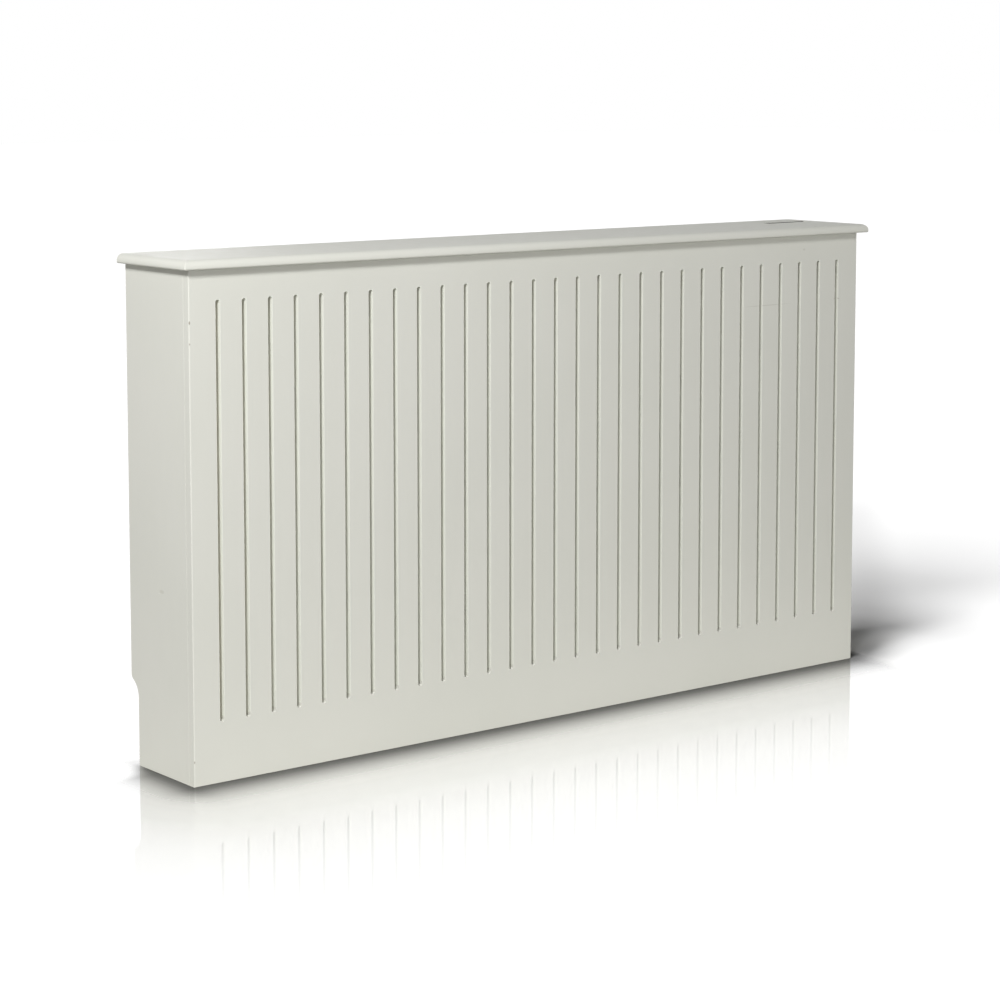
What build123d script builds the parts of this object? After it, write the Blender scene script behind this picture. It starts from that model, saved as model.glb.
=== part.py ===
from build123d import *
import os
from math import acos, degrees, radians, sin

os.makedirs("parts", exist_ok=True)

# A slotted radiator cover that stands on the floor against a wall.
# X runs along the wall, Y from the room to the wall, Z up.
# The origin is on the floor under the middle of the whole cover.

# Boards (all sizes in mm)
cover_width = 1500.0  # front panel, end to end
panel_height = 834.0  # floor to the underside of the top
body_depth = 194.0  # front face to wall
front_thickness = 16.0
side_thickness = 16.0
top_thickness = 16.0
corner_arris = 2.0  # rounding of the front panel's upright outer edges
seam_arris = 0.6  # easing on both sides of the seam between front and side
foot_arris = 0.8  # easing along the front panel's bottom edge

# Top board
front_overhang = 16.0
side_overhang = 16.0
top_round = 12.0  # large round on the upper edge
under_round = 3.0  # small round on the lower edge
plan_corner_radius = 5.0  # softened front corners, seen from above

# Slots in the front panel
slot_count = 29
slot_width = 8.0
slot_side_margin = 50.0
slot_top_margin = 50.0
slot_foot_margin = 100.0
slot_arris = 0.7  # sanded edge round each slot

# Skirting board cut-out in the side panels
skirting_depth = 22.0
skirting_height = 152.0
skirting_upper_radius = 10.0
skirting_lower_radius = 32.0

# Battens and wall rail
batten_thickness = 18.0
batten_height = 30.0
batten_floor_gap = 20.0
batten_arris = 1.0
rail_thickness = 18.0
rail_height = 45.0

# Hatch over the valve, in the rear right of the top
hatch_opening_width = 110.0
hatch_opening_depth = 80.0
hatch_opening_radius = 3.0
hatch_side_gap = 1.5
finger_gap = 14.0
finger_undercut = 10.0
finger_nose = 1.0
hatch_arris = 0.6
cleat_width = 36.0
cleat_thickness = 16.0
cleat_lead = 15.0  # how far the cleat runs on in front of the opening

# Locating pins under the hatch
pin_diameter = 6.0
pin_in_hatch = 9.0
pin_below_hatch = 10.0
pin_hole_play = 0.3  # radial
pin_hole_spare = 2.0  # hole deeper than the pin

# Wood screws
screw_diameter = 4.0
screw_head_diameter = 8.0
screw_head_rim = 0.5
screw_head_sink = 0.3
screw_tip = 4.0
screw_bite = 10.0  # reach into the board beyond the batten
screw_play = 0.08
screw_hole_overrun = 1.0  # hole cut on past the face its screw starts from
recess_length = 4.4
recess_width = 0.9
recess_depth = 1.4
corner_screw_rows = 4
corner_screw_end = 60.0  # first and last row from the ends of the corner batten
corner_screw_stagger = 22.0
front_screw_count = 5
side_screw_end = 22.0
rail_screw_count = 5
rail_screw_end = 60.0
rail_counterbore = 10.0  # diameter
cleat_screw_end = 14.0

# Dowels
dowel_diameter = 8.0
dowel_in_board = 10.0
dowel_in_edge = 20.0
dowel_chamfer = 1.0
dowel_play = 0.05
top_dowel_end = 40.0
rail_dowel_end = 11.0

# Keyhole hangers in the wall rail
hanger_end = 200.0  # each plate's middle from the end of the front panel
hanger_width = 50.0
hanger_height = 32.0
hanger_thickness = 2.0
hanger_corner_radius = 4.0
hanger_play = 0.2
keyhole_entry_diameter = 9.0
keyhole_slot_width = 5.0
keyhole_entry_drop = 6.0  # entry hole below the plate's middle
keyhole_slot_rise = 8.0  # end of the slot above the plate's middle
keyhole_pocket_width = 13.0
keyhole_pocket_depth = 8.0
hanger_screw_spacing = 36.0
hanger_screw_diameter = 3.5
hanger_screw_head_diameter = 6.6
hanger_screw_length = 13.0

# Places that follow from the sizes
wall_y = (body_depth + front_overhang) / 2
front_y = wall_y - body_depth
front_back_y = front_y + front_thickness
half_width = cover_width / 2
inner_x = half_width - side_thickness
batten_x = inner_x - batten_thickness
batten_y = front_back_y + batten_thickness
batten_z = panel_height - batten_height
rail_y = wall_y - rail_thickness
rail_z = panel_height - rail_height
top_length = cover_width + 2 * side_overhang
top_depth = body_depth + front_overhang
hatch_right_x = inner_x
hatch_left_x = hatch_right_x - hatch_opening_width
hatch_front_y = wall_y - hatch_opening_depth
lid_left_x = hatch_left_x + hatch_side_gap
lid_right_x = hatch_right_x - hatch_side_gap
lid_front_y = hatch_front_y + finger_gap
cleat_middle_x = hatch_left_x
cleat_front_y = hatch_front_y - cleat_lead
cleat_right_x = cleat_middle_x + cleat_width / 2
slot_length = panel_height - slot_top_margin - slot_foot_margin
slot_middle_z = slot_foot_margin + slot_length / 2
slot_pitch = (cover_width - 2 * slot_side_margin - slot_width) / (slot_count - 1)
batten_screw_length = batten_thickness + screw_bite
top_screw_length = batten_height + screw_bite
cleat_screw_length = cleat_thickness + screw_bite
hanger_z = rail_z + rail_height / 2
keyhole_slot_top = keyhole_slot_rise + keyhole_slot_width / 2
keyhole_slot_length = keyhole_slot_top + keyhole_entry_drop
keyhole_slot_middle = keyhole_slot_top - keyhole_slot_length / 2
pocket_top = keyhole_slot_rise + keyhole_pocket_width / 2
pocket_length = pocket_top + keyhole_entry_drop + keyhole_pocket_width / 2
pocket_middle = pocket_top - pocket_length / 2


def evenly(first, last, count):
    step = (last - first) / (count - 1)
    return [first + step * index for index in range(count)]


def facing(x, y, z, outward):
    """Place for a fastener whose head lies at a point and faces outward."""
    return Plane(origin=(x, y, z), z_dir=outward).location


def countersunk_body(length, diameter, head_diameter, play, top):
    """Countersunk screw pointing down from z = 0, or its hole with some play."""
    head = head_diameter / 2 + play
    shank = diameter / 2 + play
    rim = -screw_head_sink - screw_head_rim
    with BuildPart() as body:
        with BuildSketch(Plane.XZ):
            with BuildLine():
                Polyline(
                    (0, top),
                    (head, top),
                    (head, rim),
                    (shank, rim - head + shank),
                    (shank, screw_tip - length),
                    (0, -length - play),
                    close=True,
                )
            make_face()
        revolve(axis=Axis.Z)
    return body.part


def screw(length, diameter=screw_diameter, head_diameter=screw_head_diameter):
    """Countersunk screw with a cross recess, its head just under z = 0."""
    with BuildPart() as whole:
        add(countersunk_body(length, diameter, head_diameter, 0, -screw_head_sink))
        with BuildSketch(Plane.XY.offset(-screw_head_sink)):
            Rectangle(recess_length, recess_width)
            Rectangle(recess_width, recess_length)
        extrude(amount=-recess_depth, mode=Mode.SUBTRACT)
    return whole.part


def screw_hole(length, diameter=screw_diameter, head_diameter=screw_head_diameter):
    """Hole for a countersunk screw, open at its head."""
    return countersunk_body(length, diameter, head_diameter, screw_play, screw_hole_overrun)


def dowel(play):
    """Upright dowel whose joint lies at z = 0, or its hole with some play."""
    with BuildPart() as peg:
        with BuildSketch(Plane.XY.offset(-dowel_in_edge)):
            Circle(dowel_diameter / 2 + play)
        extrude(amount=dowel_in_edge + dowel_in_board)
    return peg.part


# Where each group of fasteners sits
corner_rows = evenly(batten_floor_gap + corner_screw_end, batten_z - corner_screw_end, corner_screw_rows)
corner_middle_x = inner_x - batten_thickness / 2
corner_middle_y = front_back_y + batten_thickness / 2
corner_front_places = [
    facing(side * corner_middle_x, batten_y, z, (0, 1, 0)) for side in (-1, 1) for z in corner_rows
]
corner_side_places = [
    facing(side * batten_x, corner_middle_y, z + corner_screw_stagger, (-side, 0, 0))
    for side in (-1, 1)
    for z in corner_rows
]
front_screw_step = 2 * batten_x / front_screw_count
front_screw_reach = front_screw_step * (front_screw_count - 1) / 2
front_screw_row = evenly(-front_screw_reach, front_screw_reach, front_screw_count)
front_batten_z = batten_z + batten_height / 2
lower_batten_z = batten_floor_gap + batten_height / 2
front_batten_places = [
    facing(x, batten_y, z, (0, 1, 0)) for z in (lower_batten_z, front_batten_z) for x in front_screw_row
]
side_screw_row = [front_back_y + side_screw_end, hatch_front_y + side_screw_end]
side_batten_places = [
    facing(side * batten_x, y, front_batten_z, (-side, 0, 0)) for side in (-1, 1) for y in side_screw_row
]
top_side_row = [front_back_y + 2 * side_screw_end, hatch_front_y - side_screw_end / 2]
top_side_places = [
    facing(side * corner_middle_x, y, batten_z, (0, 0, -1)) for side in (-1, 1) for y in top_side_row
]
top_front_row = [x + front_screw_step / 2 for x in front_screw_row[:-1]]
top_front_places = [facing(x, corner_middle_y, batten_z, (0, 0, -1)) for x in top_front_row]
rail_middle_y = wall_y - rail_thickness / 2
rail_screw_row = evenly(rail_screw_end - inner_x, hatch_left_x - rail_screw_end, rail_screw_count)
top_rail_places = [facing(x, rail_middle_y, batten_z, (0, 0, -1)) for x in rail_screw_row]
top_board_places = top_side_places + top_front_places + top_rail_places
cleat_underside_z = panel_height - cleat_thickness
cleat_screw_x = cleat_middle_x - cleat_width / 4
cleat_places = [
    facing(cleat_screw_x, y, cleat_underside_z, (0, 0, -1))
    for y in (cleat_front_y + cleat_screw_end, rail_y - cleat_screw_end)
]
hanger_middles = (hanger_end - half_width, half_width - hanger_end)
hanger_places = [
    facing(middle + side * hanger_screw_spacing / 2, wall_y, hanger_z, (0, 1, 0))
    for middle in hanger_middles
    for side in (-1, 1)
]
side_middle_x = half_width - side_thickness / 2
top_dowel_row = (front_back_y + top_dowel_end, wall_y - top_dowel_end)
top_dowel_places = [
    facing(side * side_middle_x, y, panel_height, (0, 0, 1)) for side in (-1, 1) for y in top_dowel_row
]
rail_dowel_row = (rail_z + rail_dowel_end, panel_height - rail_dowel_end)
rail_dowel_places = [
    facing(side * inner_x, rail_middle_y, z, (side, 0, 0)) for side in (-1, 1) for z in rail_dowel_row
]
pin_y = (lid_front_y + finger_undercut + rail_y) / 2
pin_xs = ((lid_left_x + cleat_right_x) / 2, (batten_x + lid_right_x) / 2)
pin_places = [(x, pin_y) for x in pin_xs]

# Fasteners and their holes, shared by the pieces they join
batten_screw = screw(batten_screw_length)
batten_screw_hole = screw_hole(batten_screw_length)
top_screw = screw(top_screw_length)
top_screw_hole = screw_hole(top_screw_length)
cleat_screw = screw(cleat_screw_length)
cleat_screw_hole = screw_hole(cleat_screw_length)
hanger_screw = screw(hanger_screw_length, hanger_screw_diameter, hanger_screw_head_diameter)
hanger_screw_hole = screw_hole(hanger_screw_length, hanger_screw_diameter, hanger_screw_head_diameter)
board_dowel_hole = dowel(dowel_play)
with BuildPart() as board_dowel:
    add(dowel(0))
    chamfer(board_dowel.edges().filter_by(GeomType.CIRCLE), dowel_chamfer)

# Front panel: stands on the floor, covers the side panels' front edges
with BuildPart() as front_panel:
    with BuildSketch(Plane.XZ.offset(-front_back_y)):
        with Locations((0, panel_height / 2)):
            Rectangle(cover_width, panel_height)
        with Locations((0, slot_middle_z)):
            with GridLocations(slot_pitch, 1, slot_count, 1):
                SlotOverall(slot_length, slot_width, rotation=90, mode=Mode.SUBTRACT)
    extrude(amount=front_thickness)
    slot_mouths = front_panel.faces().sort_by(Axis.Y)[0].inner_wires()
    fillet([edge for mouth in slot_mouths for edge in mouth.edges()], slot_arris)
    upright_edges = front_panel.edges().filter_by(Axis.Z)
    fillet([upright_edges.group_by(Axis.Y)[0].sort_by(Axis.X)[end] for end in (0, -1)], corner_arris)
    upright_edges = front_panel.edges().filter_by(Axis.Z)
    fillet([upright_edges.group_by(Axis.Y)[-1].sort_by(Axis.X)[end] for end in (0, -1)], seam_arris)
    fillet(front_panel.edges().filter_by(Axis.X).group_by(Axis.Y)[0].sort_by(Axis.Z)[0], foot_arris)
    with Locations(*corner_front_places, *front_batten_places):
        add(batten_screw_hole, mode=Mode.SUBTRACT)
front_panel.part.label = "front_panel"
export_step(front_panel.part, "parts/front_panel.step")

# Side panels: butt against the front panel's back, cut away at the foot for the skirting board
bend = degrees(acos(1 - skirting_depth / (skirting_lower_radius + skirting_upper_radius)))
bend_rise = (skirting_lower_radius + skirting_upper_radius) * sin(radians(bend))
for side, side_name in ((-1, "left"), (1, "right")):
    with BuildPart() as side_panel:
        with BuildSketch(Plane.YZ.offset(side * inner_x)):
            with BuildLine():
                foot = Line((front_back_y, 0), (wall_y - skirting_depth, 0))
                riser = Line(foot @ 1, (wall_y - skirting_depth, skirting_height - bend_rise))
                lower_bend = JernArc(riser @ 1, riser % 1, skirting_lower_radius, -bend)
                upper_bend = JernArc(lower_bend @ 1, lower_bend % 1, skirting_upper_radius, bend)
                Polyline(upper_bend @ 1, (wall_y, panel_height), (front_back_y, panel_height), foot @ 0)
            make_face()
        extrude(amount=side * side_thickness)
        outer_face = side_panel.faces().sort_by(Axis.X)[-1 if side > 0 else 0]
        fillet(outer_face.edges().filter_by(Axis.Z).sort_by(Axis.Y)[0], seam_arris)
        with Locations(*corner_side_places, *side_batten_places):
            add(batten_screw_hole, mode=Mode.SUBTRACT)
        with Locations(*top_dowel_places):
            add(board_dowel_hole, mode=Mode.SUBTRACT)
        with Locations(*rail_dowel_places):
            add(board_dowel_hole, mode=Mode.SUBTRACT)
    side_panel.part.label = f"{side_name}_side_panel"
    export_step(side_panel.part, f"parts/{side_name}_side_panel.step")

# Top board: moulded along the front and both ends, square at the wall, cut out for the hatch
with BuildPart() as top_board:
    with BuildSketch(Plane.YZ.offset(-top_length / 2)) as front_profile:
        with Locations((0, panel_height + top_thickness / 2)):
            Rectangle(top_depth, top_thickness)
        fillet(front_profile.vertices().group_by(Axis.Y)[0].sort_by(Axis.X)[0], under_round)
        fillet(front_profile.vertices().group_by(Axis.Y)[-1].sort_by(Axis.X)[0], top_round)
    extrude(amount=top_length)
    with BuildSketch(Plane.XZ.offset(-wall_y)) as end_profile:
        with Locations((0, panel_height + top_thickness / 2)):
            Rectangle(top_length, top_thickness)
        fillet(end_profile.vertices().group_by(Axis.Y)[0], under_round)
        fillet(end_profile.vertices().group_by(Axis.Y)[-1], top_round)
    extrude(amount=top_depth, mode=Mode.INTERSECT)
    with BuildSketch(Plane.XY.offset(panel_height)) as plan:
        Rectangle(top_length, top_depth)
        fillet(plan.vertices().group_by(Axis.Y)[0], plan_corner_radius)
    extrude(amount=top_thickness, mode=Mode.INTERSECT)
    with BuildSketch(Plane.XY.offset(panel_height)) as hatch_opening:
        with Locations(((hatch_left_x + hatch_right_x) / 2, wall_y)):
            Rectangle(hatch_opening_width, 2 * hatch_opening_depth)
        fillet(hatch_opening.vertices().group_by(Axis.Y)[0], hatch_opening_radius)
    extrude(amount=top_thickness, mode=Mode.SUBTRACT)
    with Locations(*top_board_places):
        add(top_screw_hole, mode=Mode.SUBTRACT)
    with Locations(*cleat_places):
        add(cleat_screw_hole, mode=Mode.SUBTRACT)
    with Locations(*top_dowel_places):
        add(board_dowel_hole, mode=Mode.SUBTRACT)
top_board.part.label = "top_board"
export_step(top_board.part, "parts/top_board.step")

# Battens along the front, one under the top and one near the floor
for batten_name, middle_z in (("front_top_batten", front_batten_z), ("lower_front_batten", lower_batten_z)):
    with BuildPart() as front_batten:
        with BuildSketch(Plane.XY.offset(middle_z - batten_height / 2)):
            with Locations((0, corner_middle_y)):
                Rectangle(2 * batten_x, batten_thickness)
        extrude(amount=batten_height)
        chamfer(front_batten.edges().filter_by(Axis.X).group_by(Axis.Y)[-1], batten_arris)
        with Locations(*front_batten_places):
            add(batten_screw_hole, mode=Mode.SUBTRACT)
        with Locations(*top_board_places):
            add(top_screw_hole, mode=Mode.SUBTRACT)
    front_batten.part.label = batten_name
    export_step(front_batten.part, f"parts/{batten_name}.step")

# Battens along the sides, under the top; the hatch rests on the right one
for side, side_name in ((-1, "left"), (1, "right")):
    with BuildPart() as top_batten:
        with BuildSketch(Plane.XY.offset(batten_z)):
            with Locations((side * corner_middle_x, (front_back_y + rail_y) / 2)):
                Rectangle(batten_thickness, rail_y - front_back_y)
        extrude(amount=batten_height)
        with Locations(*side_batten_places):
            add(batten_screw_hole, mode=Mode.SUBTRACT)
        with Locations(*top_board_places):
            add(top_screw_hole, mode=Mode.SUBTRACT)
        with BuildSketch(Plane.XY.offset(panel_height)):
            with Locations(*pin_places):
                Circle(pin_diameter / 2 + pin_hole_play)
        extrude(amount=-pin_below_hatch - pin_hole_spare, mode=Mode.SUBTRACT)
    top_batten.part.label = f"{side_name}_top_batten"
    export_step(top_batten.part, f"parts/{side_name}_top_batten.step")

# Upright battens in the front corners
for side, side_name in ((-1, "left"), (1, "right")):
    with BuildPart() as corner_batten:
        with BuildSketch(Plane.XY.offset(batten_floor_gap)):
            with Locations((side * corner_middle_x, corner_middle_y)):
                Rectangle(batten_thickness, batten_thickness)
        extrude(amount=batten_z - batten_floor_gap)
        with Locations(*corner_front_places, *corner_side_places):
            add(batten_screw_hole, mode=Mode.SUBTRACT)
    corner_batten.part.label = f"{side_name}_corner_batten"
    export_step(corner_batten.part, f"parts/{side_name}_corner_batten.step")

# Rail along the wall, under the top
with BuildPart() as wall_rail:
    with BuildSketch(Plane.XY.offset(rail_z)):
        with Locations((0, rail_middle_y)):
            Rectangle(2 * inner_x, rail_thickness)
    extrude(amount=rail_height)
    chamfer(wall_rail.edges().filter_by(Axis.X).group_by(Axis.Y)[0].sort_by(Axis.Z)[0], batten_arris)
    with BuildSketch(Plane.XY.offset(rail_z)):
        with Locations(*[(x, rail_middle_y) for x in rail_screw_row]):
            Circle(rail_counterbore / 2)
    extrude(amount=batten_z - rail_z, mode=Mode.SUBTRACT)
    with Locations(*top_rail_places):
        add(top_screw_hole, mode=Mode.SUBTRACT)
    with Locations(*rail_dowel_places):
        add(board_dowel_hole, mode=Mode.SUBTRACT)
    with BuildSketch(Plane.XZ.offset(-wall_y)) as plate_seats:
        with Locations(*[(middle, hanger_z) for middle in hanger_middles]):
            RectangleRounded(
                hanger_width + 2 * hanger_play, hanger_height + 2 * hanger_play, hanger_corner_radius
            )
    extrude(amount=hanger_thickness, mode=Mode.SUBTRACT)
    with BuildSketch(Plane.XZ.offset(-wall_y)) as keyhole_pockets:
        with Locations(*[(middle, hanger_z + pocket_middle) for middle in hanger_middles]):
            SlotOverall(pocket_length, keyhole_pocket_width, rotation=90)
    extrude(amount=hanger_thickness + keyhole_pocket_depth, mode=Mode.SUBTRACT)
    with Locations(*hanger_places):
        add(hanger_screw_hole, mode=Mode.SUBTRACT)
wall_rail.part.label = "wall_rail"
export_step(wall_rail.part, "parts/wall_rail.step")

# Cleat under the hatch's left edge
with BuildPart() as hatch_cleat:
    with BuildSketch(Plane.XY.offset(cleat_underside_z)):
        with Locations((cleat_middle_x, (cleat_front_y + rail_y) / 2)):
            Rectangle(cleat_width, rail_y - cleat_front_y)
    extrude(amount=cleat_thickness)
    chamfer(hatch_cleat.edges().group_by(Axis.Z)[0].filter_by(Axis.Y), batten_arris)
    with BuildSketch(Plane.XY.offset(panel_height)):
        with Locations(*pin_places):
            Circle(pin_diameter / 2 + pin_hole_play)
    extrude(amount=-pin_below_hatch - pin_hole_spare, mode=Mode.SUBTRACT)
    with Locations(*cleat_places):
        add(cleat_screw_hole, mode=Mode.SUBTRACT)
hatch_cleat.part.label = "hatch_cleat"
export_step(hatch_cleat.part, "parts/hatch_cleat.step")

# Hatch: lifts out by its undercut front edge
with BuildPart() as valve_hatch:
    with BuildSketch(Plane.YZ.offset(lid_left_x)):
        with BuildLine():
            Polyline(
                (lid_front_y, panel_height + top_thickness),
                (wall_y, panel_height + top_thickness),
                (wall_y, panel_height),
                (lid_front_y + finger_undercut, panel_height),
                (lid_front_y, panel_height + top_thickness - finger_nose),
                close=True,
            )
        make_face()
    extrude(amount=lid_right_x - lid_left_x)
    fillet(valve_hatch.faces().sort_by(Axis.Z)[-1].edges(), hatch_arris)
    with BuildSketch(Plane.XY.offset(panel_height)):
        with Locations(*pin_places):
            Circle(pin_diameter / 2 + dowel_play)
    extrude(amount=pin_in_hatch + dowel_play, mode=Mode.SUBTRACT)
valve_hatch.part.label = "valve_hatch"
export_step(valve_hatch.part, "parts/valve_hatch.step")

# Pins glued into the hatch
with BuildPart() as hatch_locating_pins:
    with BuildSketch(Plane.XY.offset(panel_height - pin_below_hatch)):
        with Locations(*pin_places):
            Circle(pin_diameter / 2)
    extrude(amount=pin_in_hatch + pin_below_hatch)
    chamfer(hatch_locating_pins.edges().group_by(Axis.Z)[0], dowel_chamfer)
hatch_locating_pins.part.label = "hatch_locating_pins"
export_step(hatch_locating_pins.part, "parts/hatch_locating_pins.step")

# Keyhole plates that hang the cover on two wall screws
for middle, side_name in zip(hanger_middles, ("left", "right")):
    with BuildPart() as hanger_plate:
        with BuildSketch(Plane.XZ.offset(hanger_thickness - wall_y)):
            with Locations((middle, hanger_z)):
                RectangleRounded(hanger_width, hanger_height, hanger_corner_radius)
            with Locations((middle, hanger_z - keyhole_entry_drop)):
                Circle(keyhole_entry_diameter / 2, mode=Mode.SUBTRACT)
            with Locations((middle, hanger_z + keyhole_slot_middle)):
                SlotOverall(keyhole_slot_length, keyhole_slot_width, rotation=90, mode=Mode.SUBTRACT)
        extrude(amount=-hanger_thickness)
        with Locations(*hanger_places):
            add(hanger_screw_hole, mode=Mode.SUBTRACT)
    hanger_plate.part.label = f"{side_name}_hanger_plate"
    export_step(hanger_plate.part, f"parts/{side_name}_hanger_plate.step")

# Fasteners, one group of separate solids for each job
fastener_groups = (
    ("corner_batten_screws", batten_screw, corner_front_places + corner_side_places),
    ("front_batten_screws", batten_screw, front_batten_places),
    ("side_batten_screws", batten_screw, side_batten_places),
    ("top_board_screws", top_screw, top_board_places),
    ("cleat_screws", cleat_screw, cleat_places),
    ("hanger_screws", hanger_screw, hanger_places),
    ("top_dowels", board_dowel.part, top_dowel_places),
    ("rail_dowels", board_dowel.part, rail_dowel_places),
)
for group_name, fastener, places in fastener_groups:
    with BuildPart() as group:
        with Locations(*places):
            add(fastener)
    group.part.label = group_name
    export_step(group.part, f"parts/{group_name}.step")
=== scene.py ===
import math

import bmesh
import bpy
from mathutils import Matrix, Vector


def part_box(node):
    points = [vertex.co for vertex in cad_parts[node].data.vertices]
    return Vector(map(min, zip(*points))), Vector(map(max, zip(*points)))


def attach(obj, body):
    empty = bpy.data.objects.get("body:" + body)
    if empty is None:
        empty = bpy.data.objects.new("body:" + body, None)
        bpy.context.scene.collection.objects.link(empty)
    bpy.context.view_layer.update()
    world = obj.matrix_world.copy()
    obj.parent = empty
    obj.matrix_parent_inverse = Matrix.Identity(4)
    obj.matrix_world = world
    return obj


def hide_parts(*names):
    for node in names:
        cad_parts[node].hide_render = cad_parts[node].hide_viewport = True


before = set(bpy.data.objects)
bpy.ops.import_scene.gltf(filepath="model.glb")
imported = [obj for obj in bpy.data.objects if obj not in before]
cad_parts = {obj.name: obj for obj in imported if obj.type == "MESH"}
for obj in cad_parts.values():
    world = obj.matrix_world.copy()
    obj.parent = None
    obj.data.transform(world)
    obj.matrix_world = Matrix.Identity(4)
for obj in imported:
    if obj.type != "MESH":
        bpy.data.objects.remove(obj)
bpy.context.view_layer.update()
print("packed cover loaded:", len(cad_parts), "nodes")

# planes of the cabinet that the pieces and the paint are set out from, in metres
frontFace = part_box("front_panel")[0].y
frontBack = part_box("front_panel")[1].y
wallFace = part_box("wall_rail")[1].y
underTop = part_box("top_board")[0].z
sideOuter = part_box("right_side_panel")[1].x
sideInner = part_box("right_side_panel")[0].x
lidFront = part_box("valve_hatch")[0].y
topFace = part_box("valve_hatch")[1].z
nearPlane = 0.0002  # a point this close to a plane counts as lying on it


# node helpers, shared by the materials and the geometry trees

def addNode(tree, kind, inputs=None, **settings):
    node = tree.nodes.new(kind)
    for name, value in settings.items():
        setattr(node, name, value)
    for name, value in (inputs or {}).items():
        socket = node.inputs[name]
        if hasattr(value, "is_linked"):
            tree.links.new(value, socket)
        else:
            socket.default_value = (*value, 1.0) if socket.type == "RGBA" else value
    return node


def mathOf(tree, operation, *values):
    return addNode(tree, "ShaderNodeMath", dict(enumerate(values)), operation=operation).outputs[0]


def times(tree, total, *more):
    for value in more:
        total = mathOf(tree, "MULTIPLY", total, value)
    return total


def minus(tree, total, *more):
    for value in more:
        total = mathOf(tree, "SUBTRACT", total, value)
    return total


def sumOf(tree, first, second):
    return mathOf(tree, "ADD", first, second)


def isUnder(tree, value, limit):
    return mathOf(tree, "LESS_THAN", value, limit)


def isOver(tree, value, limit):
    return mathOf(tree, "GREATER_THAN", value, limit)


def sizeOf(tree, value):
    return mathOf(tree, "ABSOLUTE", value)


def splitOf(tree, vector):
    return list(addNode(tree, "ShaderNodeSeparateXYZ", {0: vector}).outputs)


def vectorOf(tree, x=0.0, y=0.0, z=0.0):
    return addNode(tree, "ShaderNodeCombineXYZ", {0: x, 1: y, 2: z}).outputs[0]


def mixOf(tree, amount, first, second):
    return addNode(tree, "ShaderNodeMix", {0: amount, 6: first, 7: second}, data_type="RGBA").outputs[2]


def rampOf(tree, value, stops, interpolation="LINEAR"):
    node = addNode(tree, "ShaderNodeValToRGB", {0: value})
    node.color_ramp.interpolation = interpolation
    elements = node.color_ramp.elements
    while len(elements) < len(stops):
        elements.new(0.5)
    for element, (place, colour) in zip(elements, stops):
        element.position = place
        element.color = (*colour, 1.0)
    return node.outputs[0]


def spread(tree, value, low, high, lowOut=0.0, highOut=1.0, smooth=True):
    return addNode(tree, "ShaderNodeMapRange", {0: value, 1: low, 2: high, 3: lowOut, 4: highOut},
                   interpolation_type="SMOOTHSTEP" if smooth else "LINEAR").outputs[0]


def noiseOf(tree, vector, scale, detail, rough):
    return addNode(tree, "ShaderNodeTexNoise", {"Vector": vector, "Scale": scale, "Detail": detail,
                                                "Roughness": rough}).outputs[0]


def mapped(tree, vector, move=(0, 0, 0), turn=(0, 0, 0), scale=(1, 1, 1)):
    return addNode(tree, "ShaderNodeMapping", {"Vector": vector, "Location": move, "Rotation": turn,
                                               "Scale": scale}).outputs[0]


def newMaterial(name):
    material = bpy.data.materials.new(name)
    material.use_nodes = True
    tree = material.node_tree
    shader = next(node for node in tree.nodes if node.type == "BSDF_PRINCIPLED")
    place = addNode(tree, "ShaderNodeTexCoord").outputs["Object"]
    return material, tree, shader, place


def reliefOf(tree, shader, first, share, second, bump):
    # a bump from two patterns, the first with that share of the height
    height = sumOf(tree, times(tree, first, share), times(tree, second, 1.0 - share))
    tree.links.new(addNode(tree, "ShaderNodeBump", {"Height": height, **bump}).outputs[0],
                   shader.inputs["Normal"])


# paint; a noise is its scale, detail and roughness, and edges are where a pattern starts and ends

paintSetup = {
    "colour": (0.70, 0.702, 0.642),
    "cloudy": (0.714, 0.714, 0.656),
    "rawBoard": (0.39, 0.285, 0.18),
    "rawFibre": (0.48, 0.365, 0.245),
    "overspray": (0.60, 0.56, 0.48),
    "slotPaintedLight": (0.800, 0.812, 0.740),  # painted light: lighter than the front, standing in for light bounced inside the slots, so that a light line shows beside each dark one
    "lidGapShade": (0.075, 0.072, 0.062),  # painted shade: nearly black, standing in for the shade of the finger gap, so that it shows as a dark line
    "lidEdgeDepth": 0.0004,
    "lidEdgeTop": 0.0001,  # it stops this far below the top face
    "lidTint": 0.95,
    "specular": 0.28,
    "roughness": (0.46, 0.56),
    "insideRoughness": 0.75,
    "clouds": (5.0, 4.0, 0.55),
    "cloudEdges": (0.35, 0.68),
    "fibres": (520.0, 4.0, 0.65),
    "fibreEdges": (0.35, 0.65),
    "hazeEdges": (0.4, 0.75),
    "hazeMost": 0.45,
    "peel": (420.0, 2.0, 0.5),
    "peelShare": 0.4,
    "brush": (60.0, 3.0, 0.5),
    "brushStretch": (1.0, 1.0, 0.2),
    "brushEdges": (0.3, 0.7),
    "bump": {"Strength": 0.05, "Distance": 0.002},
    "markCore": 0.4,  # share of a mark that has its full strength
}
slotRow = {
    "pitch": 0.0497143,
    "half": 0.0043,  # half a slot with its mouth
    "soft": 0.0006,
    "reach": 0.706,
    "low": 0.108,
    "high": 0.7847,
}
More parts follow.
